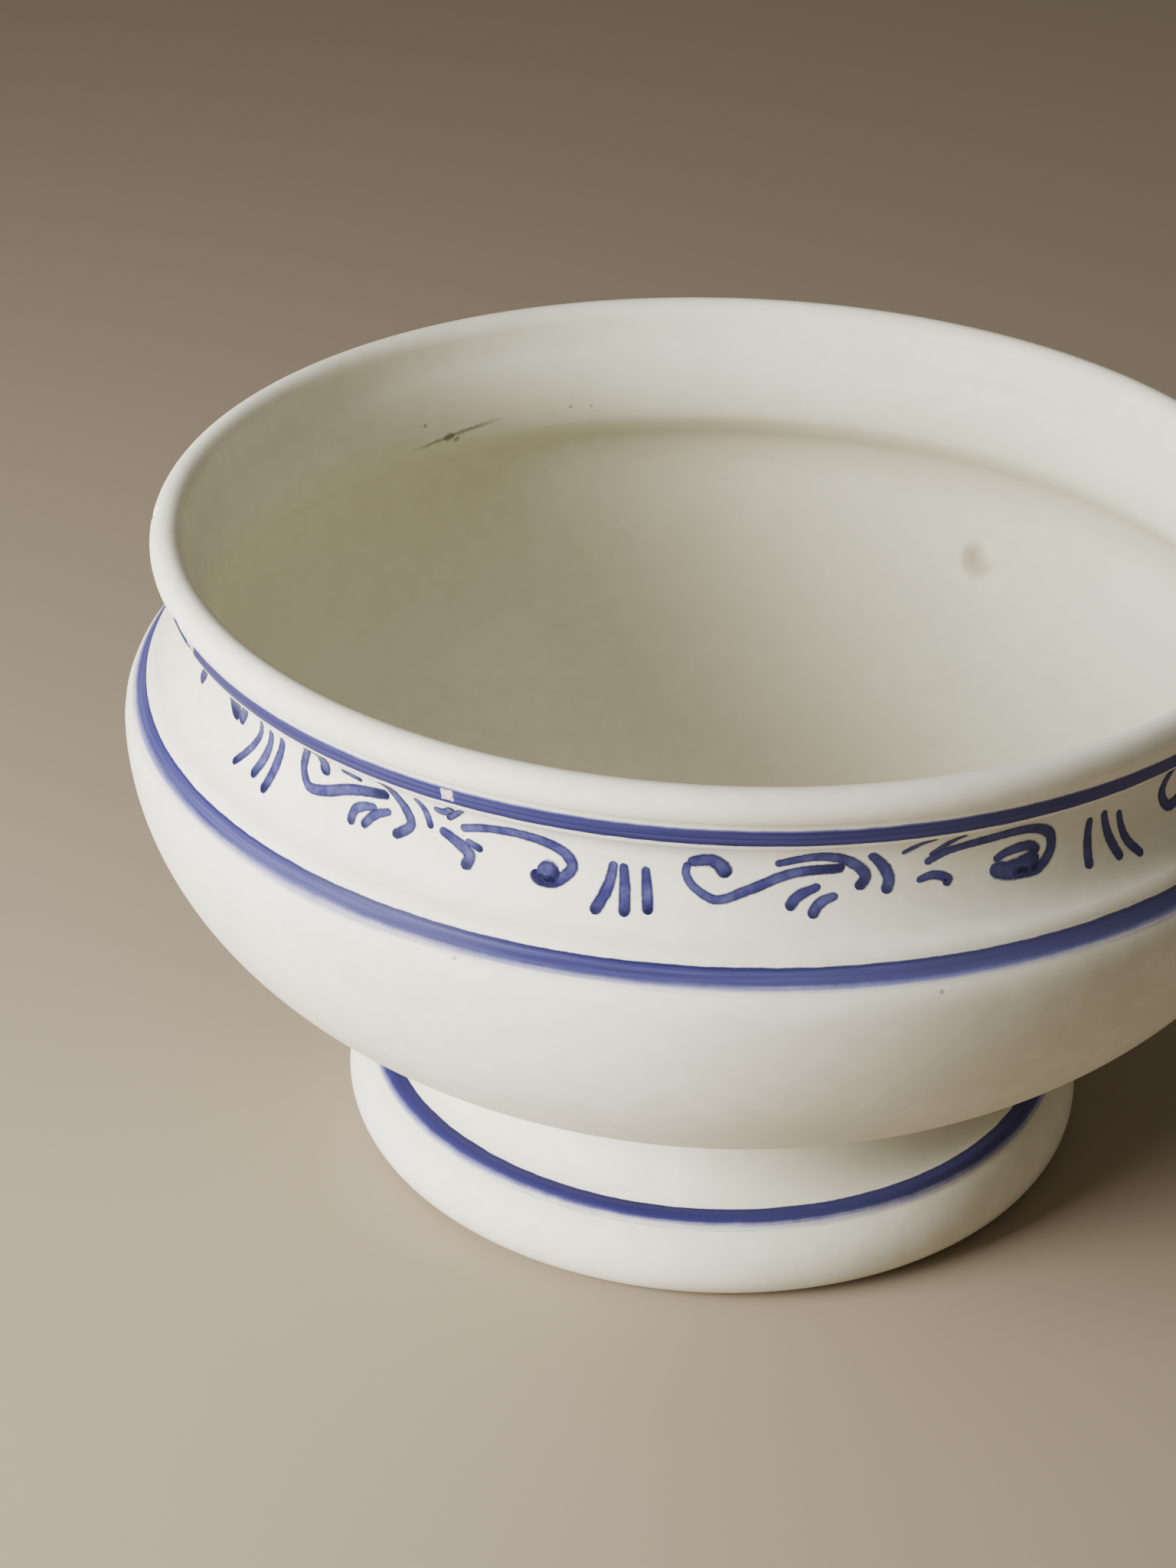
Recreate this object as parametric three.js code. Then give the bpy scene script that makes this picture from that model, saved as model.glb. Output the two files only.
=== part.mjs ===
// Footed punch bowl in glazed earthenware: a thrown bowl with a rolled lip, a coved neck and a
// round belly, stood on a hollow turned foot. A ring of slip covers the joint between the two.
//
// Units are millimetres and +Z is up. The origin is the centre of the standing ring, so the bowl
// stands on z = 0 and turns about the Z axis.

import * as THREE from 'three';

// ---- driving dimensions -------------------------------------------------------------------
const SEGMENTS = 56; // flats round each turned piece
const GAP = 0.3; // clearance between pieces that touch
const WALL = 5.8; // thickness of the bowl's wall

const HEIGHT = 168; // standing ring to top of lip
const LIP_OUTER_RADIUS = 140;
const LIP_ROLL = 4.2; // radius of the rolled lip's section

const NECK_RADIUS = 132.4; // narrowest outside radius, in the cove under the lip
const NECK_HEIGHT = 145.5;

const BELLY_RADIUS = 147.9; // widest outside radius
const BELLY_HEIGHT = 118.5; // height of the widest place
const BELLY_FLAT = 33.8; // radius of the flat in the middle of the underside
const BELLY_DEPTH = 80.7; // widest place down to that flat

const JOINT_RADIUS = 73; // where the foot's neck meets the belly
const FOOT_ROLL_CENTRE = 85; // radius of the middle of the foot's thick rim
const FOOT_ROLL_WIDTH = 9.8; // half its width
const FOOT_ROLL_HEIGHT = 10.2; // half its height
const FOOT_SHELF_RADIUS = 85.6; // where the neck flattens out on top of that rim
const FOOT_SHELF_HEIGHT = 21.8;
const FOOT_WALL = 8.5; // thickness of the foot's neck
const STANDING_RING = [80.5, 88]; // inner and outer radius of the flat that stands on the table

const SLIP_BEAD = 1.7; // radius of the slip ring's section

// ---- shapes -------------------------------------------------------------------------------
const point = (radius, height) => new THREE.Vector2(radius, height);

// A piece of an ellipse, from one angle to another, in degrees from straight out.
function arc(centre, halfWidth, halfHeight, from, to, steps) {
  const points = [];
  for (let i = 0; i <= steps; i += 1) {
    const angle = THREE.MathUtils.degToRad(from + ((to - from) * i) / steps);
    const radius = centre.x + halfWidth * Math.cos(angle);
    points.push(point(radius, centre.y + halfHeight * Math.sin(angle)));
  }
  return points;
}

// A smooth line through a few places.
function flow(places, steps) {
  return new THREE.SplineCurve(places).getPoints(steps);
}

// Height of the belly's underside at a radius.
function undersideHeight(radius) {
  const across = (radius - BELLY_FLAT) / (BELLY_RADIUS - BELLY_FLAT);
  return BELLY_HEIGHT - BELLY_DEPTH * Math.sqrt(1 - across * across);
}

// Joins stretches of outline and leaves out each place that repeats the one before it.
function outline(...stretches) {
  const joined = [];
  for (const place of stretches.flat()) {
    const last = joined[joined.length - 1];
    if (!last || last.distanceTo(place) > 0.05) {
      joined.push(place);
    }
  }
  return joined;
}

// Turns an outline about the Z axis. The outline runs from the underside, out and up the outer
// face, and back down the inner one.
function turned(places) {
  const geometry = new THREE.LatheGeometry(places, SEGMENTS);
  geometry.rotateX(Math.PI / 2);
  return geometry;
}

function mesh(name, geometry, material) {
  const made = new THREE.Mesh(geometry, material);
  made.name = name;
  return made;
}

// ---- materials ----------------------------------------------------------------------------
const glaze = () => new THREE.MeshStandardMaterial({ color: 0xebe8dc, roughness: 0.32, metalness: 0 });
const slip = () => new THREE.MeshStandardMaterial({ color: 0xe4dfcd, roughness: 0.4, metalness: 0 });

// ---- bowl ---------------------------------------------------------------------------------
function bowl() {
  const belly = point(BELLY_FLAT, BELLY_HEIGHT);
  const lip = point(LIP_OUTER_RADIUS - LIP_ROLL, HEIGHT - LIP_ROLL);
  const reach = BELLY_RADIUS - BELLY_FLAT;

  const underside = arc(belly, reach, BELLY_DEPTH, -90, 0, 9);
  const shoulder = flow(
    [
      point(BELLY_RADIUS, BELLY_HEIGHT),
      point(146.8, 122.6),
      point(142.6, 127.2),
      point(138.4, 132),
      point(134.4, 136.6),
      point(NECK_RADIUS, NECK_HEIGHT),
      point(133.2, 150.8),
    ],
    8,
  );
  const fascia = [point(135.4, 153.4), point(136, 158.6)];
  const roll = arc(lip, LIP_ROLL, LIP_ROLL, -60, 180, 8);
  const insideNeck = flow(
    [
      point(lip.x - LIP_ROLL, lip.y),
      point(130.4, 158.4),
      point(127.6, 153),
      point(126.6, NECK_HEIGHT),
      point(128.6, 136.6),
      point(134, 130.6),
      point(139.8, 125),
      point(BELLY_RADIUS - WALL, BELLY_HEIGHT - 1),
    ],
    8,
  );
  const inside = point(BELLY_FLAT, BELLY_HEIGHT - 1);
  const floorDepth = BELLY_DEPTH - WALL - 1;
  const well = arc(inside, reach - WALL, floorDepth, 0, -90, 9);

  const axisBelow = point(0, BELLY_HEIGHT - BELLY_DEPTH);
  const axisInside = point(0, inside.y - floorDepth);
  return turned(outline([axisBelow], underside, shoulder, fascia, roll, insideNeck, well, [axisInside]));
}

// ---- foot ---------------------------------------------------------------------------------
function foot() {
  const innerRadius = JOINT_RADIUS - FOOT_WALL;
  const roll = point(FOOT_ROLL_CENTRE, FOOT_ROLL_HEIGHT);
  const neckTop = undersideHeight(JOINT_RADIUS) - GAP;
  const cove = point(FOOT_SHELF_RADIUS, neckTop);

  const standing = [point(STANDING_RING[0], 0), point(STANDING_RING[1], 0)];
  const rim = arc(roll, FOOT_ROLL_WIDTH, FOOT_ROLL_HEIGHT, -66, 68, 6);
  const coveWidth = FOOT_SHELF_RADIUS - JOINT_RADIUS;
  const neck = arc(cove, coveWidth, neckTop - FOOT_SHELF_HEIGHT, 278, 180, 5);
  const seat = [
    point(innerRadius + FOOT_WALL / 2, undersideHeight(innerRadius + FOOT_WALL / 2) - GAP),
    point(innerRadius, undersideHeight(innerRadius) - GAP),
  ];
  const hollow = flow(
    [point(innerRadius, 36), point(67.5, 27), point(74, 16), point(78.5, 4)],
    3,
  );
  const closed = [standing[0]];
  return turned(outline(standing, rim, neck, seat, hollow, closed));
}

// ---- slip ring ----------------------------------------------------------------------------
// It sits in the corner between the belly and the foot's neck, clear of both.
function slipRing() {
  const radius = JOINT_RADIUS + SLIP_BEAD + GAP;
  const below = SLIP_BEAD * 1.35 + GAP;
  const centre = point(radius, undersideHeight(radius) - below);
  return turned(outline(arc(centre, SLIP_BEAD, SLIP_BEAD, -90, 270, 6)));
}

// ---- assembly -----------------------------------------------------------------------------
const group = new THREE.Group();
group.add(mesh('bowl', bowl(), glaze()));
group.add(mesh('foot', foot(), glaze()));
group.add(mesh('slip_ring', slipRing(), slip()));

export default group;
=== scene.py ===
"""Footed punch bowl in white glazed earthenware, painted in cobalt blue under the glaze.

Each piece has its own operator. A bowl, a foot and a ring of slip are turned on the Z axis from
their outlines, and the brushwork of the frieze is laid on the cove under the lip.
"""

import math

import bpy
from mathutils import Matrix, Vector


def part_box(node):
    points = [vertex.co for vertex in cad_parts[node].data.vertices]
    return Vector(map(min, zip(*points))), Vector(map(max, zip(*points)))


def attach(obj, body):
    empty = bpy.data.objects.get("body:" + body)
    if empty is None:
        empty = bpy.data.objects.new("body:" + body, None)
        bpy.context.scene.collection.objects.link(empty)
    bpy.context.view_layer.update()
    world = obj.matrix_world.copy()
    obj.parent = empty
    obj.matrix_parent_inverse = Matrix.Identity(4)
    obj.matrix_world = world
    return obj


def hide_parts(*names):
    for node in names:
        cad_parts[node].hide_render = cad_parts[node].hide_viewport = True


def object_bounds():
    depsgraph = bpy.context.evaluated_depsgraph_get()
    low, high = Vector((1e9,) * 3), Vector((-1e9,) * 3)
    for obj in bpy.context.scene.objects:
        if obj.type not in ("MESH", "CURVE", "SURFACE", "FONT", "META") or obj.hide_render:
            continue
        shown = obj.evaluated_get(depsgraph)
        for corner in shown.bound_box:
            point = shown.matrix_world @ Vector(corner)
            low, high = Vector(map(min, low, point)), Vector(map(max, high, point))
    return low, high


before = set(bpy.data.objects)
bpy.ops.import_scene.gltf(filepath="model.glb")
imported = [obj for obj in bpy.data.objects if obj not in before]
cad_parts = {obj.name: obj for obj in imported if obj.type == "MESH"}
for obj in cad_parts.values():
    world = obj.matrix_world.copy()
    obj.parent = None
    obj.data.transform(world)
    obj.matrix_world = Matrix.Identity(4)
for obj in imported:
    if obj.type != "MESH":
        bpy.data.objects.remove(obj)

bl_info = {
    "name": "Footed punch bowl",
    "version": (1, 0, 0),
    "blender": (4, 5, 0),
    "location": "View3D > Sidebar > Bowl",
    "description": "Turns, glazes and paints a footed earthenware punch bowl",
    "category": "Add Mesh",
}

MM = 0.001

# Sizes that the sliders leave alone.
BELLY_FLAT = 0.0338  # radius where the curve of the belly's underside starts
FLOOR_DROP = 1 * MM  # how far the curve inside sits below the one outside
CLEARANCE = 0.15 * MM  # between the foot and the bowl
FOOT_WALL = 8.5 * MM
FOOT_ROLL_WIDTH = 9.8 * MM  # half the width of the foot's thick rim
FOOT_ROLL_HEIGHT = 10.2 * MM  # half its height
FOOT_SHELF_HEIGHT = 21.8 * MM  # where the foot's neck flattens out above the rim
SLIP_BEAD = 2.1 * MM  # radius of the slip ring's section
DENT_CUTS = 4  # cuts across a face near a dent

# Flats round each turned piece, and the spacing of points along its outline.
BOWL_FLATS, BOWL_SPACING = 240, 2.3 * MM
FOOT_FLATS, FOOT_SPACING = 192, 1.8 * MM
SLIP_FLATS, SLIP_STEPS = 192, 17

CAD_LOW, CAD_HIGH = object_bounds()
FOOT_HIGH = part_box("foot")[1]


def on_wall(azimuth, radius, height):
    """A place from its direction in degrees, its radius and its height in millimetres."""
    side = math.radians(azimuth)
    return Vector((radius * math.cos(side), radius * math.sin(side), height)) * MM


class Dent:
    """A place that is pushed in or out: how far along its direction, and how wide."""

    def __init__(self, spot, depth, reach):
        self.spot = spot
        self.reach = reach * MM
        self.push = Vector((spot.x, spot.y, 0)).normalized() * (depth * MM)


# Marks left by making and use.
CHIPS = {
    "thumb mark": Dent(on_wall(60.3, 138.6, 99), 3.0, 5.8),
    "lip nick": Dent(on_wall(-176, 139.6, 165.4), -1.2, 2.8),
    "lip chip": Dent(on_wall(-154.6, 138.2, 159.0), -1.9, 6.0),
    "band flake": Dent(on_wall(-115.2, 137.1, 156.9), -0.35, 2.6),
}
SCUFF = on_wall(126.6, 128, 139.3)
SPECKS = [
    (on_wall(127.6, 128, 139.0), 2.2 * MM),
    (on_wall(126.4, 128, 137.4), 1.5 * MM),
    (on_wall(131.4, 126.8, 144.7), 0.9 * MM),
    (on_wall(111.2, 127.4, 141.7), 0.9 * MM),
    (on_wall(108.5, 127.6, 141.4), 1.0 * MM),
    (on_wall(-112.4, 146.3, 123.1), 0.8 * MM),
    (on_wall(-70.8, 146.9, 122.2), 0.7 * MM),
]


# ---- sizes and colours a user may change ---------------------------------------------------
def length(name, description, default):
    """A size property in metres."""
    return bpy.props.FloatProperty(
        name=name, description=description, default=default, unit="LENGTH", precision=5
    )


def colour(name, description, default):
    """A linear colour property."""
    return bpy.props.FloatVectorProperty(
        name=name, description=description, default=default, subtype="COLOR", size=3, min=0, max=1
    )


class BowlSizes(bpy.types.PropertyGroup):
    """Radii and heights of the turned pieces."""

    height: length("Height", "Table to the top of the lip", CAD_HIGH.z)
    lip_radius: length("Lip radius", "Outside radius of the rolled lip", 0.140)
    lip_roll: length("Lip roll", "Radius of the lip's round section", 0.0042)
    neck_radius: length("Neck radius", "Narrowest outside radius, in the cove", 0.1324)
    neck_height: length("Neck height", "Height of the narrowest place", 0.1455)
    belly_radius: length("Belly radius", "Widest outside radius", CAD_HIGH.x)
    belly_height: length("Belly height", "Height of the widest place", 0.1185)
    base_height: length("Base height", "Height of the middle of the underside", 0.0378)
    wall: length("Wall", "Thickness of the bowl's wall", 0.0058)
    joint_radius: length("Joint radius", "Where the foot's neck meets the belly", 0.073)
    foot_radius: length("Foot radius", "Outside radius of the foot's rim", FOOT_HIGH.x)


class PaintSizes(bpy.types.PropertyGroup):
    """Places of the painted bands and the frieze."""

    lip_band: length("Lip band", "Height of the middle of the band under the lip", 0.1566)
    shoulder_band: length("Shoulder band", "Height of the band on the shoulder", 0.1268)
    foot_band: length("Foot band", "Radius of the band on the foot", 0.0860)
    frieze_top: length("Frieze top", "Height where the cove starts under the lip", 0.1534)
    frieze_radius: length("Frieze radius", "Radius that the frieze is measured on", 0.134)


class Colours(bpy.types.PropertyGroup):
    """Colours of glaze, paint and clay."""

    glaze: colour("Glaze", "Warm white of the glaze", (0.89, 0.885, 0.755))
    # Besides real mottling, this colour is painted over the inside of the bowl as shade.
    pooled_glaze_and_shade: colour("Pooled glaze", "Glaze where it lies thick", (0.60, 0.56, 0.41))
    cobalt: colour("Cobalt", "Full strength of the blue", (0.026, 0.024, 0.104))
    pooled_cobalt: colour("Pooled cobalt", "Blue where the brush stopped", (0.005, 0.005, 0.028))
    # Besides the real wash, this colour is painted over the blue towards the right as light.
    wash_and_painted_light: colour("Wash", "Thin blue at the edge of a stroke", (0.19, 0.20, 0.42))
    clay: colour("Clay", "Bare fired clay", (0.56, 0.43, 0.34))
    bare: colour("Bare body", "Body where the glaze has flaked off", (0.50, 0.41, 0.42))
    # Besides real scuffs and specks, this colour is painted as a shadow round the edge of the lip chip.
    grime_and_shadow: colour("Grime", "Old scuffs and specks", (0.13, 0.125, 0.10))
    floor: colour("Floor", "Floor that the bowl stands on", (0.31, 0.255, 0.185))


# ---- outlines -------------------------------------------------------------------------------
def arc(centre, half_width, half_height, start, stop, steps):
    """Places on an ellipse between two angles in degrees, measured from straight out."""
    places = []
    for step in range(steps + 1):
        angle = math.radians(start + (stop - start) * step / steps)
        across = Vector((half_width * math.cos(angle), half_height * math.sin(angle)))
        places.append(centre + across)
    return places


def flow(places, spacing):
    """A smooth line through places, with points about a spacing apart."""
    line = [places[0]]
    for i in range(len(places) - 1):
        before = places[max(i - 1, 0)]
        here, there = places[i], places[i + 1]
        after = places[min(i + 2, len(places) - 1)]
        gap = (there - here).length
        if gap < 1e-7:
            continue
        reach_in = max((here - before).length, 1e-7)
        reach_out = max((after - there).length, 1e-7)
        leave = (there - before) * (gap / (gap + reach_in))
        arrive = (after - here) * (gap / (gap + reach_out))
        steps = max(2, math.ceil(gap / spacing))
        for step in range(1, steps + 1):
            t = step / steps
            start_weight = (1 + 2 * t) * (1 - t) ** 2
            stop_weight = t * t * (3 - 2 * t)
            bend = leave * (t * (1 - t) ** 2) - arrive * (t * t * (1 - t))
            line.append(here * start_weight + there * stop_weight + bend)
    return line


def belly_shape(sizes):
    """Centre and half sizes of the ellipse that the belly's underside follows."""
    centre = Vector((BELLY_FLAT, sizes.belly_height))
    return centre, sizes.belly_radius - BELLY_FLAT, sizes.belly_height - sizes.base_height


def underside_height(sizes, radius):
    """Height of the belly's underside at a radius."""
    centre, reach, depth = belly_shape(sizes)
    across = (radius - centre.x) / reach
    return centre.y - depth * math.sqrt(1 - across * across)


def cove_places(sizes):
    """The outside of shoulder, cove and fascia, from the belly up to the roll of the lip."""
    neck = Vector((sizes.neck_radius, sizes.neck_height))
    offsets = [
        (14.4, -22.9),
        (10.3, -18.0),
        (9.0, -15.3),
        (5.6, -13.8),
        (2.1, -8.9),
        (0.0, 0.0),
        (0.6, 5.2),
        (2.2, 7.1),
        (3.7, 8.3),
        (4.6, 10.6),
        (5.1, 13.1),
    ]
    return [neck + Vector(offset) * MM for offset in offsets]


def inside_neck_places(sizes):
    """The inside of the neck, from the step inside the lip down to the undercut of the belly."""
    neck = Vector((sizes.neck_radius - sizes.wall, sizes.neck_height))
    offsets = [
        (3.9, 13.2),
        (1.3, 8.2),
        (0.0, 0.0),
        (2.0, -8.9),
        (7.4, -14.9),
        (13.2, -20.5),
    ]
    return [neck + Vector(offset) * MM for offset in offsets]


def bowl_outline(sizes, spacing):
    """Outline of the bowl from the axis below, over the lip, to the axis inside."""
    centre, reach, depth = belly_shape(sizes)
    lip = Vector((sizes.lip_radius - sizes.lip_roll, sizes.height - sizes.lip_roll))
    inside = centre - Vector((0, FLOOR_DROP))
    places = [Vector((0, sizes.base_height))]
    places += arc(centre, reach, depth, -90, 0, 14)
    places += cove_places(sizes)
    places += arc(lip, sizes.lip_roll, sizes.lip_roll, -56, 184, 12)
    places += inside_neck_places(sizes)
    places += arc(inside, reach - sizes.wall, depth - sizes.wall - FLOOR_DROP, 0, -90, 14)
    places.append(Vector((0, inside.y - depth + sizes.wall + FLOOR_DROP)))
    return flow(places, spacing)


def foot_outline(sizes, spacing):
    """Outline of the foot: standing ring, thick rim, concave neck, seat and hollow."""
    rim = Vector((sizes.foot_radius - FOOT_ROLL_WIDTH, FOOT_ROLL_HEIGHT))
    inner = sizes.joint_radius - FOOT_WALL
    top = underside_height(sizes, sizes.joint_radius) - CLEARANCE
    shelf = Vector((rim.x + 0.6 * MM, top))
    outside = [Vector((rim.x - 4.5 * MM, 0)), Vector((rim.x + 2.6 * MM, 0))]
    outside += arc(rim, FOOT_ROLL_WIDTH, FOOT_ROLL_HEIGHT, -66, 66, 12)
    outside += arc(shelf, shelf.x - sizes.joint_radius, top - FOOT_SHELF_HEIGHT, 277, 180, 9)
    middle = inner + 4 * MM
    seat = [
        Vector((middle, underside_height(sizes, middle) - CLEARANCE)),
        Vector((inner, underside_height(sizes, inner) - CLEARANCE)),
    ]
    hollow = [Vector((inner, 36 * MM)), Vector((inner + 3 * MM, 27 * MM))]
    hollow += [Vector((rim.x - 11 * MM, 16 * MM)), Vector((rim.x - 6.5 * MM, 4 * MM))]
    places = flow(outside, spacing) + seat + flow(hollow, spacing)
    return [Vector((place.x, max(place.y, 0))) for place in places]


def slip_outline(sizes):
    """Outline of the ring of slip in the corner between belly and foot."""
    radius = sizes.joint_radius + 1.6 * MM
    centre = Vector((radius, underside_height(sizes, radius) - 1.7 * MM))
    return arc(centre, SLIP_BEAD, SLIP_BEAD, -90, 250, SLIP_STEPS)


# ---- modelling ------------------------------------------------------------------------------
def start_piece(name, add, **settings):
    """Adds a primitive with nothing else selected, names it and opens it for editing."""
    bpy.ops.object.select_all(action="DESELECT")
    add(**settings)
    piece = bpy.context.object
    piece.name = name
    piece.data.name = name
    bpy.ops.object.mode_set(mode="EDIT")
    bpy.ops.mesh.select_all(action="SELECT")
    return piece


def close_piece(piece):
    """Merges doubles, turns the faces outwards and leaves edit mode."""
    bpy.ops.mesh.select_all(action="SELECT")
    bpy.ops.mesh.remove_doubles(threshold=0.00001)
    bpy.ops.mesh.normals_make_consistent(inside=False)
    bpy.ops.object.mode_set(mode="OBJECT")
    bpy.ops.object.shade_smooth()
    return piece


def turn(name, outline, flats, closed):
    """Extrudes a corner along an outline and spins it about the Z axis."""
    piece = start_piece(name, bpy.ops.mesh.primitive_plane_add, size=0.01, location=(0, 0, 0))
    bpy.ops.mesh.merge(type="CENTER")
    first = outline[0]
    bpy.ops.transform.translate(value=(first.x, 0, first.y))
    places = outline[1:] + [first] if closed else outline[1:]
    here = first
    for place in places:
        step = (place.x - here.x, 0, place.y - here.y)
        bpy.ops.mesh.extrude_region_move(TRANSFORM_OT_translate={"value": step})
        here = place
    bpy.ops.mesh.select_all(action="SELECT")
    bpy.ops.mesh.remove_doubles(threshold=0.00001)
    bpy.ops.mesh.spin(steps=flats, angle=math.tau, center=(0, 0, 0), axis=(0, 0, 1))
    return close_piece(piece)


def near(piece, spot, reach):
    """Selects the faces of a piece whose middle is within reach of a spot."""
    bpy.ops.mesh.select_all(action="DESELECT")
    bpy.ops.object.mode_set(mode="OBJECT")
    count = 0
    for face in piece.data.polygons:
        face.select = (face.center - spot).length < reach
        count += face.select
    bpy.ops.object.mode_set(mode="EDIT")
    return count


def press(piece, dent):
    """Cuts the mesh finer round a dent and pushes it in or out with a soft edge."""
    bpy.context.view_layer.objects.active = piece
    bpy.ops.object.mode_set(mode="EDIT")
    bpy.ops.mesh.select_mode(type="FACE")
    if not near(piece, dent.spot, dent.reach * 1.3 + 1.5 * MM):
        raise RuntimeError(f"nothing to press at {tuple(dent.spot)}")
    bpy.ops.mesh.subdivide(number_cuts=DENT_CUTS, smoothness=0)
    bpy.ops.mesh.select_mode(type="VERT")
    bpy.ops.object.mode_set(mode="OBJECT")
    for corner in piece.data.vertices:
        off = (corner.co - dent.spot).length / dent.reach
        if off < 1:
            corner.co += dent.push * (1 - off * off) ** 2


def mark_outside(piece):
    """Records on each corner whether it faces away from the axis: 1 outside, 0 inside."""
    facing = piece.data.attributes.new("outside", "FLOAT", "POINT")
    for corner, mark in zip(piece.data.vertices, facing.data):
        away = Vector((corner.co.x, corner.co.y, 0)).normalized()
        mark.value = 0.5 + 0.5 * corner.normal.dot(away)


def use_slot(piece, node, finish):
    """Gives a piece its finish and its body, and hides the node it stands for."""
    piece.data.materials.clear()
    piece.data.materials.append(finish)
    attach(piece, "root")
    if node:
        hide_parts(node)


# ---- shader maths ---------------------------------------------------------------------------
# A Mix node has sockets for numbers, vectors and colours. These are the ones for colours.
MIX_COLOURS = (6, 7)
MIX_RESULT = 2


class Value:
    """A number that changes over a surface. Arithmetic on values adds Math nodes."""

    def __init__(self, recipe, socket):
        self.recipe = recipe
        self.socket = socket

    def combine(self, operation, first, second):
        return self.recipe.math(operation, first, second)

    def __add__(self, other):
        return self.combine("ADD", self, other)

    def __radd__(self, other):
        return self.combine("ADD", other, self)

    def __sub__(self, other):
        return self.combine("SUBTRACT", self, other)

    def __rsub__(self, other):
        return self.combine("SUBTRACT", other, self)

    def __mul__(self, other):
        return self.combine("MULTIPLY", self, other)

    def __rmul__(self, other):
        return self.combine("MULTIPLY", other, self)


class Recipe:
    """One material and the nodes that make it."""

    def __init__(self, name):
        self.material = bpy.data.materials.new(name)
        self.material.use_nodes = True
        self.tree = self.material.node_tree
        self.shader = self.tree.nodes["Principled BSDF"]
        place = self.node("ShaderNodeTexCoord").outputs["Object"]
        self.place = place
        split = self.node("ShaderNodeSeparateXYZ", Vector=place)
        self.x = Value(self, split.outputs["X"])
        self.y = Value(self, split.outputs["Y"])
        self.z = Value(self, split.outputs["Z"])

    def node(self, kind, settings=None, **sockets):
        """Adds a node, sets it up, then fills or links its sockets."""
        made = self.tree.nodes.new(kind)
        for name, setting in (settings or {}).items():
            setattr(made, name, setting)
        for name, filled in sockets.items():
            self.fill(made.inputs[name.replace("_", " ")], filled)
        return made

    def fill(self, socket, filled):
        """Puts a number, a value or a socket into a socket."""
        if isinstance(filled, Value):
            self.tree.links.new(filled.socket, socket)
        elif isinstance(filled, bpy.types.NodeSocket):
            self.tree.links.new(filled, socket)
        else:
            socket.default_value = filled

    def math(self, operation, first, second=0.0):
        """One Math node on values or numbers."""
        made = self.node("ShaderNodeMath", {"operation": operation})
        self.fill(made.inputs[0], first)
        self.fill(made.inputs[1], second)
        return Value(self, made.outputs[0])

    def rise(self, value, low, high):
        """0 below low, 1 above high, smooth between."""
        made = self.node("ShaderNodeMapRange", {"interpolation_type": "SMOOTHSTEP"}, Value=value)
        made.inputs["From Min"].default_value = low
        made.inputs["From Max"].default_value = high
        return Value(self, made.outputs["Result"])

    def zone(self, value, start, full, fade, stop):
        """1 from full to fade, 0 before start and after stop, smooth between."""
        return self.rise(value, start, full) * (1 - self.rise(value, fade, stop))

    def stretched(self, x, y, z):
        """The object's own place, stretched along its axes."""
        made = self.node("ShaderNodeMapping", Vector=self.place, Scale=(x, y, z))
        return made.outputs["Vector"]

    def noise(self, scale, detail=2.0, roughness=0.5, where=None):
        """Soft noise from 0 to 1 around 0.5."""
        made = self.node(
            "ShaderNodeTexNoise",
            Vector=where or self.place,
            Scale=scale,
            Detail=detail,
            Roughness=roughness,
        )
        return Value(self, made.outputs["Fac"])

    def blend(self, amount, first, second):
        """Mixes two colours, each a tuple or a socket."""
        made = self.node("ShaderNodeMix", {"data_type": "RGBA"})
        self.fill(made.inputs["Factor"], amount)
        for index, filled in zip(MIX_COLOURS, (first, second)):
            self.fill(made.inputs[index], (*filled, 1.0) if isinstance(filled, tuple) else filled)
        return made.outputs[MIX_RESULT]

    def radius(self):
        """Distance from the turning axis."""
        return self.math("SQRT", self.x * self.x + self.y * self.y)

    def away(self, place):
        """Distance from a place."""
        made = self.node("ShaderNodeVectorMath", {"operation": "DISTANCE"})
        self.fill(made.inputs[0], self.place)
        made.inputs[1].default_value = place
        return Value(self, made.outputs["Value"])

    def spot(self, place, size):
        """1 in the middle of a round spot, 0 outside it."""
        return 1 - self.rise(self.away(place), size * 0.35, size)

    def smear(self, place, slope, size, width):
        """A thin ragged line on the wall near a place, rising to one side by the slope."""
        side = math.atan2(place.y, place.x)
        along = self.y * math.cos(side) - self.x * math.sin(side)
        ragged = (self.noise(500.0, 3.0, 0.7) - 0.5) * (2.4 * width)
        off = self.math("ABSOLUTE", self.z - place.z - along * slope + ragged)
        return self.spot(place, size) * (1 - self.rise(off, width * 0.3, width * 1.3))

    def patch(self, place, size):
        """1 inside a squarish ragged patch on the wall near a place."""
        side = math.atan2(place.y, place.x)
        along = self.math("ABSOLUTE", self.y * math.cos(side) - self.x * math.sin(side))
        up = self.math("ABSOLUTE", self.z - place.z)
        off = self.math("MAXIMUM", along, up) + (self.noise(900.0, 2.0) - 0.5) * (size * 0.4)
        return (1 - self.rise(off, size * 0.85, size)) * self.spot(place, size * 4)

    def bump(self, height, distance):
        """A normal that follows a height, with a distance for a height of 1."""
        made = self.node("ShaderNodeBump", Height=height, Distance=distance)
        return made.outputs["Normal"]


# Heights where a tint starts, is full, starts to fade and ends.
UNDERCUT = (0.108, 0.124, 0.127, 0.138)
BELOW_LIP = (0.1475, 0.1518, 0.1526, 0.1532)
LIP_EDGE = (0.1530, 0.1533, 0.1537, 0.1542)
# Where the painted shadow under the lip is darkest.
UNDER_LIP_SHADOW_SPOT = on_wall(-99, 134, 151)

# Painted shade in the undercut inside the bowl.
UNDERCUT_SHADE_TINT = (0.46, 0.42, 0.31)
# Painted shadow under the lip.
UNDER_LIP_SHADOW_TINT = (0.38, 0.40, 0.46)
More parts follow.
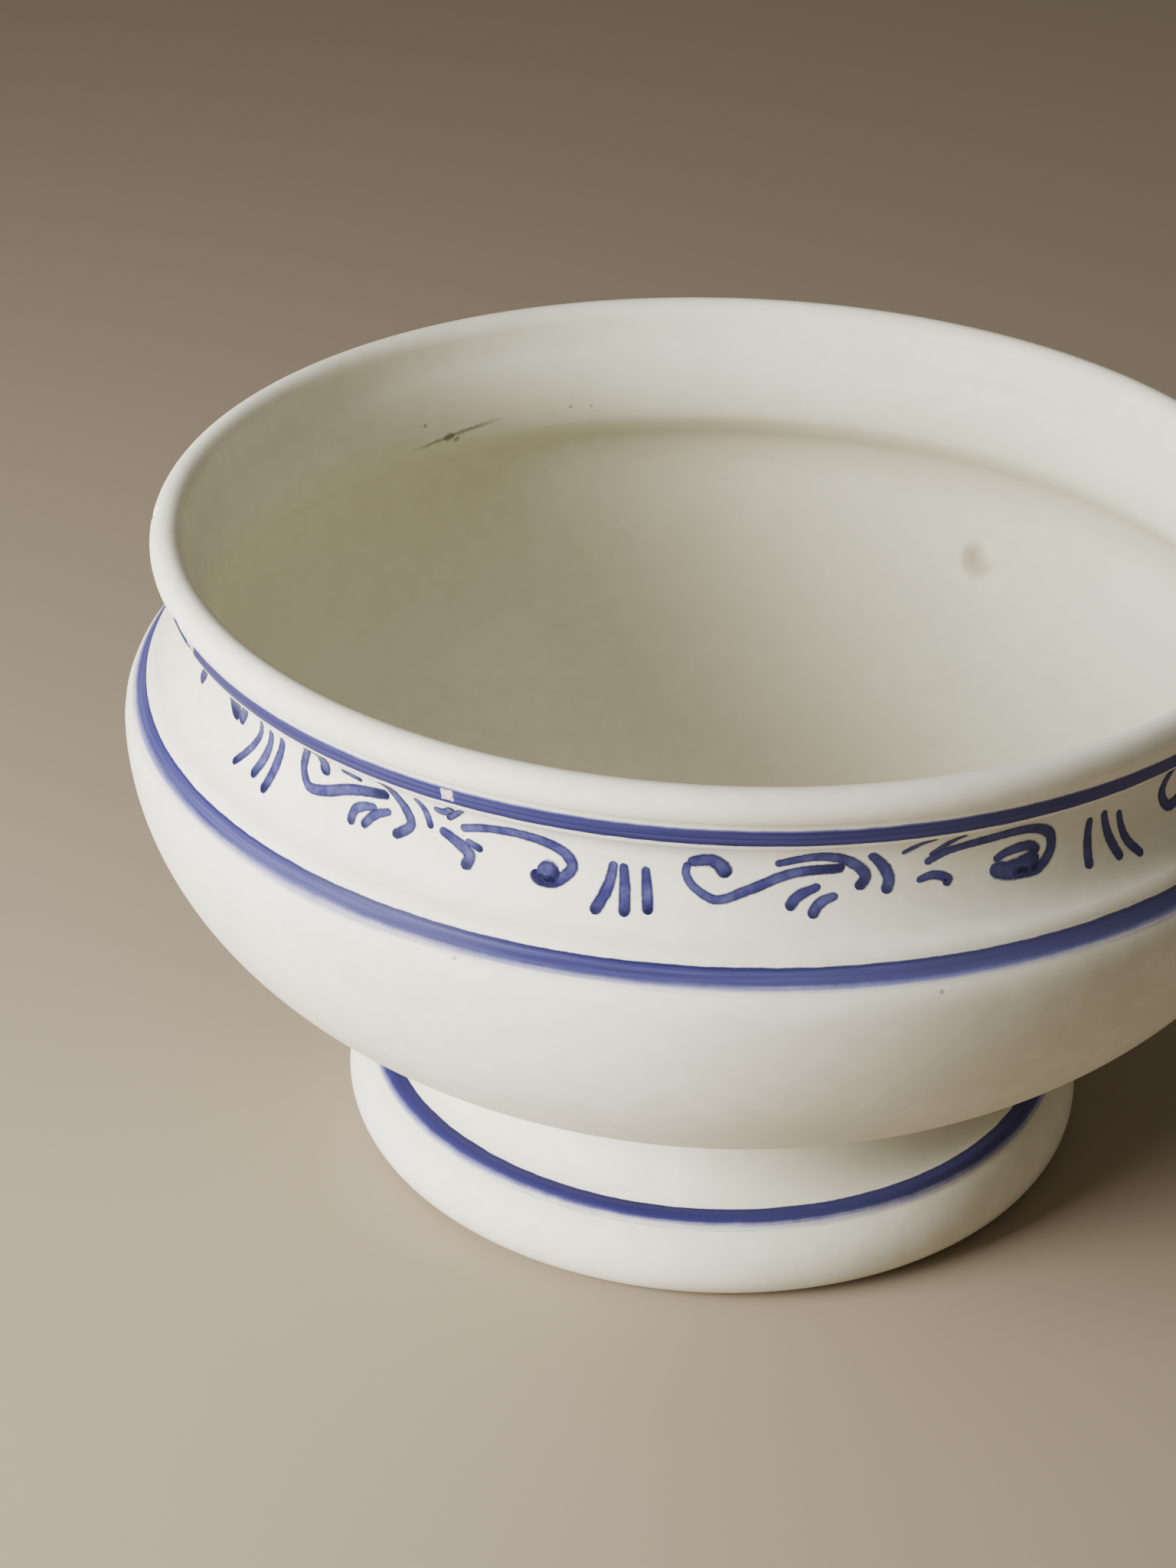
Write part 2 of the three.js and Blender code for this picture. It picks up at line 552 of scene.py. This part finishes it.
# Painted highlight along the lip's lower edge.
LIP_EDGE_HIGHLIGHT = (0.93, 0.92, 0.88)
BROKEN_GLAZE = (0.95, 0.94, 0.90)
FLAKE_GRAIN = (0.78, 0.74, 0.76)
CLAY_GRAIN = (0.42, 0.33, 0.27)
# Painted shade on the low side of the thumb mark, and its painted highlight.
DENT_SHADE = (0.42, 0.39, 0.30)
DENT_HIGHLIGHT = (0.95, 0.94, 0.88)

# Painted bands: half the width, how far the soft side fades, and how much blue the brush left.
LIP_BAND = {"half": 2.25 * MM, "feather": 0.35 * MM, "load": 0.84}
SHOULDER_BAND = {"half": 1.7 * MM, "feather": 2.0 * MM, "load": 0.78}
FOOT_BAND = {"half": 2.1 * MM, "feather": 1.6 * MM, "load": 1.05}


def shade(tone):
    """A colour property as a plain tuple."""
    return tuple(tone)


def glazed_surface(recipe, colours):
    """Colour of the white glaze, with faint mottling. Sets gloss and the glaze's fine waves."""
    soft = recipe.noise(9.0, 3.0)
    fine = recipe.noise(160.0, 4.0, 0.6)
    rings = recipe.noise(1.0, 2.0, 0.5, recipe.stretched(5, 5, 240))
    mottled = recipe.rise(soft * 0.7 + fine * 0.3, 0.38, 0.66)
    tone = recipe.blend(mottled * 0.45, shade(colours.glaze), shade(colours.pooled_glaze_and_shade))
    recipe.fill(recipe.shader.inputs["Roughness"], 0.30 + soft * 0.08 + fine * 0.06)
    peel = recipe.noise(420.0, 2.0)
    waves = recipe.noise(38.0, 2.0)
    height = peel * 0.12 + waves * 0.9 + rings * 0.35
    recipe.fill(recipe.shader.inputs["Normal"], recipe.bump(height, 0.00016))
    return tone


def painted_band(recipe, off, half, feather, load):
    """Cover and depth of blue on a band: its low side is sharp and its high side feathered."""
    wander = (recipe.noise(7.0, 1.0) - 0.5) * (0.5 * MM)
    ragged = (recipe.noise(190.0, 3.0, 0.6) - 0.5) * (0.5 * MM)
    streaks = recipe.noise(1.0, 3.0, 0.65, recipe.stretched(14, 14, 1100))
    off = off + wander + ragged
    sharp_edge = recipe.rise(off, -half, 0.35 * MM - half)
    soft_edge = 1 - recipe.rise(off + (streaks - 0.5) * feather * 1.5, half, half + feather)
    core = 1 - recipe.rise(off, half - 0.6 * MM, half + feather * 0.6)
    rim = 1 - recipe.rise(off, 0.4 * MM - half, 1.2 * MM - half)
    depth = core * (load + (streaks - 0.5) * 0.7) + rim * (1.15 - load)
    return sharp_edge * soft_edge, depth


def painted_light_right(recipe):
    """How much paler the blue is painted towards the right of the front: painted light on the side that
    lies in shade.
    """
    return recipe.rise(recipe.x, -0.02, 0.14) * 0.48


def paint_over(recipe, tone, cover, depth, colours):
    """Lays blue over a tone: thin wash where depth is low, full cobalt where it is high, paler towards
    the right as painted light.
    """
    blue = recipe.blend(recipe.rise(depth, 0.0, 1.0), shade(colours.wash_and_painted_light), shade(colours.cobalt))
    blue = recipe.blend(recipe.rise(depth, 0.95, 1.5) * 0.7, blue, shade(colours.pooled_cobalt))
    # Painted light: the blue is made paler towards the right.
    blue = recipe.blend(painted_light_right(recipe), blue, shade(colours.wash_and_painted_light))
    return recipe.blend(cover, tone, blue)


def finish_colour(recipe, tone):
    """Sets the colour and a low, soft shine, and gives the finished material."""
    recipe.fill(recipe.shader.inputs["Base Color"], tone)
    recipe.shader.inputs["Specular IOR Level"].default_value = 0.06
    return recipe.material


def shaded_glaze(recipe, colours, outside, inside):
    """White glaze, with painted shade inside the bowl and in its undercut, a painted shadow under the lip
    and a painted highlight on the lip's lower edge.
    """
    tone = glazed_surface(recipe, colours)
    # Painted shade: the inside of the bowl is painted darker and warmer.
    tone = recipe.blend(inside * 0.35, tone, shade(colours.pooled_glaze_and_shade))
    # Painted shade in the undercut under the inside of the neck, fading out towards the left.
    lit_side = recipe.rise(recipe.x, -0.10, 0.03)
    undercut_shade = recipe.zone(recipe.z, *UNDERCUT) * inside * lit_side
    tone = recipe.blend(undercut_shade * 0.45, tone, UNDERCUT_SHADE_TINT)
    # Painted shadow all round under the lip, darker near one spot.
    shadow_under_lip = 0.15 + recipe.spot(UNDER_LIP_SHADOW_SPOT, 34 * MM) * 0.4
    below_lip = recipe.zone(recipe.z, *BELOW_LIP) * outside
    tone = recipe.blend(below_lip * shadow_under_lip, tone, UNDER_LIP_SHADOW_TINT)
    # Painted highlight along the lower edge of the lip.
    edge = recipe.zone(recipe.z, *LIP_EDGE) * outside
    return recipe.blend(edge * 0.8, tone, LIP_EDGE_HIGHLIGHT)


def paint_bowl(recipe, tone, paint, colours, outside):
    """The bands under the lip and on the shoulder, lost where the lip is chipped, with a painted shadow
    round the chip's edge.
    """
    chip = CHIPS["lip chip"]
    ragged = (recipe.noise(420.0, 2.0) - 0.5) * (1.6 * MM)
    from_chip = recipe.away(chip.spot) + ragged
    chipped = 1 - recipe.rise(from_chip, chip.reach * 0.72, chip.reach * 0.78)
    chip_edge_shadow = chipped - (1 - recipe.rise(from_chip, chip.reach * 0.6, chip.reach * 0.7))

    cover, depth = painted_band(recipe, recipe.z - paint.lip_band, **LIP_BAND)
    upright = outside * (1 - recipe.rise(recipe.radius(), 0.1386, 0.1392))
    tone = paint_over(recipe, tone, cover * upright * (1 - chipped), depth, colours)
    cover, depth = painted_band(recipe, paint.shoulder_band - recipe.z, **SHOULDER_BAND)
    tone = paint_over(recipe, tone, cover * outside, depth, colours)

    tone = recipe.blend(chipped * 0.6, tone, BROKEN_GLAZE)
    # Painted shadow: a dark ring round the edge of the chip.
    return recipe.blend(chip_edge_shadow * 0.6, tone, shade(colours.grime_and_shadow))


def flaked_band(recipe, tone, colours):
    """Bare body where a flake has come off the band under the lip."""
    flake = CHIPS["band flake"]
    bared = recipe.patch(flake.spot, flake.reach * 0.6)
    grain = recipe.rise(recipe.noise(1300.0, 2.0, 0.7), 0.4, 0.6)
    body = recipe.blend(grain, shade(colours.bare), FLAKE_GRAIN)
    return recipe.blend(bared, tone, body)


def shaded_dent(recipe, tone):
    """Painted shade on the low side of the thumb mark, and a painted highlight above it."""
    dent = CHIPS["thumb mark"]
    above = dent.spot + on_wall(-30, 1.0, 2.6)
    dent_shade = recipe.spot(dent.spot, dent.reach * 1.15) - recipe.spot(above, dent.reach * 0.95)
    dent_shade = recipe.math("MAXIMUM", dent_shade, 0.0)
    # Painted shade on the thumb mark's low side.
    tone = recipe.blend(dent_shade * 0.75, tone, DENT_SHADE)
    return recipe.blend(recipe.spot(above, dent.reach * 0.8) * 0.6, tone, DENT_HIGHLIGHT)


def old_marks(recipe):
    """How much grime lies on the scuff and the specks."""
    marks = recipe.smear(SCUFF, -0.14, 16 * MM, 0.75 * MM) * 0.6
    for spot, size in SPECKS:
        marks = marks + recipe.spot(spot, size) * 0.6
    return recipe.math("MINIMUM", marks, 0.85)


def bowl_finish(paint, colours):
    """White glaze with the bands under the lip and on the shoulder, and its old marks."""
    recipe = Recipe("painted_glaze")
    facing = recipe.node("ShaderNodeAttribute", {"attribute_name": "outside"})
    facing = Value(recipe, facing.outputs["Fac"])
    outside = recipe.rise(facing, 0.45, 0.55)
    inside = 1 - recipe.rise(facing, 0.05, 0.5)
    tone = shaded_glaze(recipe, colours, outside, inside)
    tone = paint_bowl(recipe, tone, paint, colours, outside)
    tone = flaked_band(recipe, tone, colours)
    tone = shaded_dent(recipe, tone)
    return finish_colour(recipe, recipe.blend(old_marks(recipe), tone, shade(colours.grime_and_shadow)))


def foot_finish(paint, colours):
    """White glaze with one band on the foot, and bare clay where the foot stands."""
    recipe = Recipe("foot_glaze")
    tone = glazed_surface(recipe, colours)
    upper = recipe.rise(recipe.z, 14 * MM, 17 * MM)
    cover, depth = painted_band(recipe, recipe.radius() - paint.foot_band, **FOOT_BAND)
    tone = paint_over(recipe, tone, cover * upper, depth, colours)
    grain = recipe.noise(900.0, 3.0, 0.7)
    bare = 1 - recipe.rise(recipe.z + (recipe.noise(60.0) - 0.5) * MM, 0.25 * MM, 0.7 * MM)
    clay = recipe.blend(grain * 0.5, shade(colours.clay), CLAY_GRAIN)
    return finish_colour(recipe, recipe.blend(bare, tone, clay))


def slip_finish(colours):
    """Glaze lying thick over the ring of slip."""
    recipe = Recipe("slip_glaze")
    tone = glazed_surface(recipe, colours)
    return finish_colour(recipe, recipe.blend(0.35, tone, shade(colours.pooled_glaze_and_shade)))


def brush_finish(colours):
    """One stroke of cobalt: pale at its edge, streaked along its length, dark where it ends."""
    recipe = Recipe("brushed_cobalt")
    split = recipe.node("ShaderNodeSeparateXYZ", Vector=recipe.node("ShaderNodeUVMap").outputs[0])
    along = Value(recipe, split.outputs["X"])
    side = Value(recipe, split.outputs["Y"])
    off = recipe.math("ABSOLUTE", side - 0.5) * 2
    ragged = (recipe.noise(900.0, 3.0, 0.7) - 0.5) * 0.35
    edge = off + ragged
    cover = 1 - recipe.rise(edge, 0.62, 1.0)
    puddle = recipe.rise(along, 0.72, 0.96) * (1 - recipe.rise(off, 0.3, 1.0))
    streak = recipe.noise(300.0, 2.0, 0.6)
    thin = 0.04 + recipe.rise(streak, 0.3, 0.75) * 0.28
    body = recipe.blend(thin, shade(colours.cobalt), shade(colours.wash_and_painted_light))
    rim = recipe.zone(edge, 0.35, 0.62, 0.68, 0.8)
    tone = recipe.blend(rim * 0.45, body, shade(colours.pooled_cobalt))
    tone = recipe.blend(puddle * 0.85, tone, shade(colours.pooled_cobalt))
    # Painted light: the stroke is made paler towards the right.
    tone = recipe.blend(painted_light_right(recipe), tone, shade(colours.wash_and_painted_light))
    recipe.fill(recipe.shader.inputs["Alpha"], cover)
    recipe.fill(recipe.shader.inputs["Roughness"], 0.28 + streak * 0.12)
    return finish_colour(recipe, tone)


# ---- brushwork ------------------------------------------------------------------------------
# Strokes are measured in millimetres: along the cove from the middle of a spray, and down the
# cove from the edge under the lip. The last number is the stroke's width.
SPRAY_OPEN = [
    ([(-31, 1), (-34.5, 8.5), (-32.5, 12.5), (-28, 12), (-18, 8), (-7.5, 5.5)], 2.9),
    ([(-31.2, 1.2), (-28, 2.6), (-26.8, 5.2), (-27.8, 7.9)], 3.4),
    ([(-21.5, 4.2), (-15, 4.5)], 1.5),
    ([(-9.5, 0.8), (-6.5, 3.8), (-2.8, 8), (-1.6, 11), (-6, 14.8)], 2.6),
    ([(-11, 10), (-14.5, 10.8), (-17.3, 12.6), (-18.2, 16.4)], 2.7),
    ([(-7, 9.5), (-11.5, 11.8), (-14.8, 15.6)], 2.6),
    ([(-0.4, 3.4), (2, 6), (3.8, 10.3)], 2.0),
    ([(4.5, 4.7), (7.4, 4.8), (9.9, 2.8)], 2.2),
    ([(12.5, 2.3), (7.8, 6.5)], 1.8),
    ([(5.8, 9.5), (9.7, 11), (13.8, 13.5), (12.7, 17)], 3.2),
    ([(12.4, 10.3), (16.9, 11.8)], 2.0),
    ([(11, 7.9), (18, 6.1), (27, 5.6), (35, 7.6), (37.6, 11), (34, 15), (30, 15), (29.3, 13)], 3.0),
    ([(29.6, 13.2), (32.2, 13.1), (34.8, 13.8)], 5.8),
]
SPRAY_CLOSE = [
    ([(-42.3, 6.5), (-42.8, 9.5), (-40.8, 12.6), (-36, 15), (-29.5, 12.7), (-20, 8.8), (-8.7, 7.9)], 2.7),
    ([(-42.6, 6.8), (-40.5, 6.2), (-37.5, 5.8), (-35.4, 7.2), (-33.9, 10)], 3.9),
    ([(-24, 6.5), (-14.6, 4.7), (-8.5, 6.1), (-4.2, 10), (-6, 13.3)], 2.9),
    ([(-3.6, 4.7), (-0.6, 7.9), (1, 11), (0.3, 14.8)], 3.0),
    ([(-13.9, 11.8), (-18.8, 14.1), (-21, 17.1)], 2.8),
    ([(-10.1, 14.1), (-13.9, 15.6), (-16.2, 18.9)], 2.8),
    ([(3.6, 5.6), (10.8, 1.4)], 1.4),
    ([(10, 7), (17.9, 2)], 1.4),
    ([(9, 8.8), (14.4, 6.5), (24.3, 5.2), (34, 5), (39.5, 7.5), (40, 11.5), (36.5, 15), (30, 15)], 2.8),
    ([(25.4, 11), (29, 9.6), (34.5, 9.4), (36.9, 11.5)], 2.6),
    ([(24.4, 12.8), (30, 14), (37, 12.4)], 5.2),
    ([(7.2, 12.6), (11.2, 11.8), (14.6, 13.2), (13.4, 14.4)], 2.4),
]
SPRAY_SHORT = SPRAY_OPEN[:3] + [
    ([(21, 3.2), (18.2, 7), (14.3, 11.4)], 3.2),
    ([(40.8, 0.1), (39, 4.5), (37, 9.8)], 6.2),
    ([(46.4, 1.0), (43.6, 5.2), (40.6, 9.5)], 2.6),
]
BARS_LEFT = [
    ([(-0.8, 3.9), (-2.5, 8.3), (-5.5, 12.6), (-11.7, 19.4)], 2.2),
    ([(2.9, 4.7), (1, 11), (-3.3, 18.9)], 2.8),
    ([(7.4, 4.7), (5.1, 11.8), (2.1, 20.4)], 3.0),
]
BARS_UPRIGHT = [
    ([(-2.6, 8.2), (-3.6, 14), (-6.4, 20.6)], 3.0),
    ([(-0.6, 8.4), (0, 14), (0.4, 20.4)], 2.9),
    ([(4.2, 8.6), (4.8, 14), (5.4, 19.4)], 2.8),
]
BARS_RIGHT = [
    ([(-4.8, 7), (-5.6, 13.3), (-5.7, 18.9)], 2.6),
    ([(-0.9, 6.5), (0.5, 12.6), (3.5, 19.4)], 2.6),
    ([(3.7, 7.9), (5.5, 14.8), (9.7, 20.4)], 2.4),
]
BARS = [BARS_LEFT] + [BARS_UPRIGHT, BARS_RIGHT] * 2 + [BARS_UPRIGHT, BARS_LEFT, BARS_UPRIGHT]
SPRAYS = [SPRAY_OPEN, SPRAY_CLOSE] * 3 + [SPRAY_OPEN, SPRAY_SHORT]

# The bars seen from the front, along the cove from the middle of the front. The others follow
# at even gaps.
FRONT_BARS = [-118.7 * MM, -20.0 * MM, 91.5 * MM]
STROKE_COLUMNS = 8  # faces across a stroke
STROKE_GAP = 0.06 * MM  # from the glaze to the top of a stroke
STROKE_THICKNESS = 0.12 * MM  # so that a stroke sinks into the glaze


class Frieze:
    """The cove that is painted: gives the place of a point along it and down it."""

    def __init__(self, sizes, paint):
        self.radius = paint.frieze_radius
        self.line = [
            place for place in reversed(flow(cove_places(sizes), 0.4 * MM))
            if place.y <= paint.frieze_top
        ]
        self.depths = [0.0]
        for here, there in zip(self.line, self.line[1:]):
            self.depths.append(self.depths[-1] + (there - here).length)

    def place(self, along, down):
        """A point on the cove, a little proud of it."""
        index = 0
        while index < len(self.depths) - 2 and self.depths[index + 1] < down:
            index += 1
        span = self.depths[index + 1] - self.depths[index]
        share = (down - self.depths[index]) / span
        spot = self.line[index].lerp(self.line[index + 1], share)
        angle = along / self.radius - math.pi / 2
        reach = spot.x + 0.2 * MM
        return Vector((reach * math.cos(angle), reach * math.sin(angle), spot.y))


def stroke_width(share, reach):
    """Width of a stroke at a share of its length: a fine start and a round full end."""
    start = math.sqrt(1 - max(0.0, 1 - share * reach / 0.8) ** 2)
    swell = 0.72 + 0.28 * min(1.0, share / 0.5)
    left = (1 - share) * reach
    end = math.sqrt(max(0.0, 1 - max(0.0, 1 - left) ** 2))
    return start * swell * end


def brush_stroke(frieze, name, middle, places, width):
    """One stroke: a grid laid along a smooth line on the cove."""
    line = flow([Vector(place) for place in places], 0.35)
    lengths = [0.0]
    for here, there in zip(line, line[1:]):
        lengths.append(lengths[-1] + (there - here).length)
    rows = max(12, len(line))
    bpy.ops.mesh.primitive_grid_add(
        x_subdivisions=rows, y_subdivisions=STROKE_COLUMNS, size=2, calc_uvs=True
    )
    stroke = bpy.context.object
    stroke.name = name
    index = 0
    total = lengths[-1]
    if total < 2.4 * width:
        for mark in stroke.data.uv_layers.active.data:
            mark.uv.x = 0.6 + 0.4 * mark.uv.x
    for corner in stroke.data.vertices:
        share = (corner.co.x + 1) / 2
        while index < len(line) - 2 and lengths[index + 1] < share * total:
            index += 1
        while index > 0 and lengths[index] > share * total:
            index -= 1
        span = max(lengths[index + 1] - lengths[index], 1e-6)
        spot = line[index].lerp(line[index + 1], (share * total - lengths[index]) / span)
        way = (line[index + 1] - line[index]).normalized()
        half = width * 0.56 * stroke_width(share, total / (width / 2))
        spot = spot + Vector((-way.y, way.x)) * (half * corner.co.y)
        corner.co = frieze.place(middle + spot.x * MM, max(0.05, spot.y) * MM)
    return stroke


def lay_on(piece, ground):
    """Presses a painted piece onto the glaze and gives it a thickness that sinks into it."""
    bpy.context.view_layer.objects.active = piece
    press_down = piece.modifiers.new("lay", "SHRINKWRAP")
    press_down.target = ground
    press_down.wrap_method = "NEAREST_SURFACEPOINT"
    press_down.wrap_mode = "ABOVE_SURFACE"
    press_down.offset = STROKE_GAP
    bpy.ops.object.modifier_apply(modifier=press_down.name)
    bpy.ops.object.mode_set(mode="EDIT")
    close_piece(piece)
    body = piece.modifiers.new("body", "SOLIDIFY")
    body.thickness = STROKE_THICKNESS
    body.offset = -1
    bpy.ops.object.modifier_apply(modifier=body.name)


# ---- operators ------------------------------------------------------------------------------
class BOWL_OT_turn_bowl(bpy.types.Operator):
    """Turn the bowl with its lip, cove, belly and floor, and mark it"""

    bl_idname = "bowl.turn_bowl"
    bl_label = "Turn the bowl"

    def execute(self, context):
        scene = context.scene
        sizes = scene.bowl_sizes
        outline = bowl_outline(sizes, BOWL_SPACING)
        piece = turn("glazed_bowl", outline, BOWL_FLATS, closed=False)
        mark_outside(piece)
        for dent in CHIPS.values():
            press(piece, dent)
        use_slot(piece, "bowl", bowl_finish(scene.bowl_paint, scene.bowl_colours))
        return {"FINISHED"}


class BOWL_OT_turn_foot(bpy.types.Operator):
    """Turn the hollow foot with its thick rim and bare standing ring"""

    bl_idname = "bowl.turn_foot"
    bl_label = "Turn the foot"

    def execute(self, context):
        scene = context.scene
        outline = foot_outline(scene.bowl_sizes, FOOT_SPACING)
        piece = turn("glazed_foot", outline, FOOT_FLATS, closed=True)
        use_slot(piece, "foot", foot_finish(scene.bowl_paint, scene.bowl_colours))
        return {"FINISHED"}


class BOWL_OT_lay_slip(bpy.types.Operator):
    """Lay the ring of slip round the joint of bowl and foot"""

    bl_idname = "bowl.lay_slip"
    bl_label = "Lay the slip ring"

    def execute(self, context):
        scene = context.scene
        outline = slip_outline(scene.bowl_sizes)
        piece = turn("slip_bead", outline, SLIP_FLATS, closed=True)
        use_slot(piece, "slip_ring", slip_finish(scene.bowl_colours))
        return {"FINISHED"}


class BOWL_OT_paint_frieze(bpy.types.Operator):
    """Brush the sprays and bars of the frieze onto the cove"""

    bl_idname = "bowl.paint_frieze"
    bl_label = "Paint the frieze"

    def execute(self, context):
        scene = context.scene
        ground = bpy.data.objects.get("glazed_bowl")
        if ground is None:
            raise RuntimeError("the frieze is painted on the bowl, so the bowl comes first")
        frieze = Frieze(scene.bowl_sizes, scene.bowl_paint)
        finish = brush_finish(scene.bowl_colours)
        round_bowl = math.tau * frieze.radius
        bar_places = list(FRONT_BARS)
        gap = (round_bowl - (bar_places[-1] - bar_places[0])) / (len(BARS) - 2)
        bar_places += [bar_places[-1] + gap * (i + 1) for i in range(len(BARS) - 3)]
        for i, bar in enumerate(bar_places):
            following = bar_places[(i + 1) % len(bar_places)]
            following += round_bowl if i == len(bar_places) - 1 else 0
            strokes = [(bar, places, width) for places, width in BARS[i]]
            strokes += [((bar + following) / 2, places, width) for places, width in SPRAYS[i]]
            bpy.ops.object.select_all(action="DESELECT")
            made = []
            for j, (middle, places, width) in enumerate(strokes):
                made.append(brush_stroke(frieze, f"stroke_{i}_{j}", middle, places, width))
            for stroke in made:
                stroke.select_set(True)
            bpy.context.view_layer.objects.active = made[0]
            bpy.ops.object.join()
            piece = bpy.context.object
            piece.name = f"brushwork_{i + 1}"
            piece.data.name = piece.name
            bpy.ops.object.transform_apply(location=True, rotation=True, scale=True)
            lay_on(piece, ground)
            use_slot(piece, None, finish)
        return {"FINISHED"}


class BOWL_OT_set_stage(bpy.types.Operator):
    """Set the floor, the soft lights and the camera"""

    bl_idname = "bowl.set_stage"
    bl_label = "Set the stage"

    def execute(self, context):
        scene = context.scene
        floor = start_piece("floor", bpy.ops.mesh.primitive_plane_add, size=8, location=(0, 0, 0))
        bpy.ops.object.mode_set(mode="OBJECT")
        recipe = Recipe("floor_matte")
        speckle = recipe.noise(700.0, 3.0)
        plain = shade(scene.bowl_colours.floor)
        tone = recipe.blend(speckle * 0.2, plain, tuple(part * 0.85 for part in plain))
        recipe.fill(recipe.shader.inputs["Base Color"], tone)
        recipe.shader.inputs["Roughness"].default_value = 0.7
        floor.data.materials.append(recipe.material)
        soft_light("window", (-0.78, -0.50, 0.40), 0.5, 30)
        soft_light("ceiling", (-0.5, -0.6, 1.9), 1.4, 4)
        world = scene.world or bpy.data.worlds.new("room")
        scene.world = world
        world.use_nodes = True
        backdrop = world.node_tree.nodes["Background"]
        backdrop.inputs["Color"].default_value = (1.0, 0.90, 0.74, 1)
        backdrop.inputs["Strength"].default_value = 0.19
        set_camera(scene)
        return {"FINISHED"}


def soft_light(name, place, size, power):
    """A square soft light that faces the bowl."""
    bpy.ops.object.light_add(type="AREA", location=place)
    light = bpy.context.object
    light.name = name
    light.data.size = size
    light.data.energy = power
    light.data.color = (1.0, 0.985, 0.95)
    aim = Vector((0, 0, 0.08)) - Vector(place)
    light.rotation_euler = aim.to_track_quat("-Z", "Y").to_euler()


def set_camera(scene):
    """A camera in front of the bowl and above it, turned and tilted towards it."""
    turned, tilted, rolled = math.radians(2.54), math.radians(29.66), math.radians(1.13)
    bpy.ops.object.camera_add()
    camera = bpy.context.object
    camera.name = "camera"
    camera.data.lens = 80.1
    camera.data.sensor_width = 36
    placed = Matrix.Translation((0, -0.7639, 0.5257)) @ Matrix.Rotation(turned, 4, "Z")
    tilt = Matrix.Rotation(math.pi / 2 - tilted, 4, "X")
    camera.matrix_world = placed @ tilt @ Matrix.Rotation(rolled, 4, "Z")
    scene.camera = camera


class BOWL_PT_panel(bpy.types.Panel):
    """Sizes, colours and steps of the bowl"""

    bl_idname = "BOWL_PT_panel"
    bl_label = "Punch bowl"
    bl_space_type = "VIEW_3D"
    bl_region_type = "UI"
    bl_category = "Bowl"

    def draw(self, context):
        for group in (context.scene.bowl_sizes, context.scene.bowl_paint, context.scene.bowl_colours):
            for name in type(group).__annotations__:
                self.layout.prop(group, name)
        for operator in STEPS:
            self.layout.operator(operator.bl_idname)


GROUPS = (BowlSizes, PaintSizes, Colours)
STEPS = (
    BOWL_OT_turn_bowl,
    BOWL_OT_turn_foot,
    BOWL_OT_lay_slip,
    BOWL_OT_paint_frieze,
    BOWL_OT_set_stage,
)


def register():
    for made in (*GROUPS, *STEPS, BOWL_PT_panel):
        bpy.utils.register_class(made)
    bpy.types.Scene.bowl_sizes = bpy.props.PointerProperty(type=BowlSizes)
    bpy.types.Scene.bowl_paint = bpy.props.PointerProperty(type=PaintSizes)
    bpy.types.Scene.bowl_colours = bpy.props.PointerProperty(type=Colours)


def unregister():
    del bpy.types.Scene.bowl_sizes
    del bpy.types.Scene.bowl_paint
    del bpy.types.Scene.bowl_colours
    for made in reversed((*GROUPS, *STEPS, BOWL_PT_panel)):
        bpy.utils.unregister_class(made)


def main():
    register()
    bpy.ops.bowl.turn_bowl()
    bpy.ops.bowl.turn_foot()
    bpy.ops.bowl.lay_slip()
    bpy.ops.bowl.paint_frieze()
    bpy.ops.bowl.set_stage()


if __name__ == "__main__":
    main()
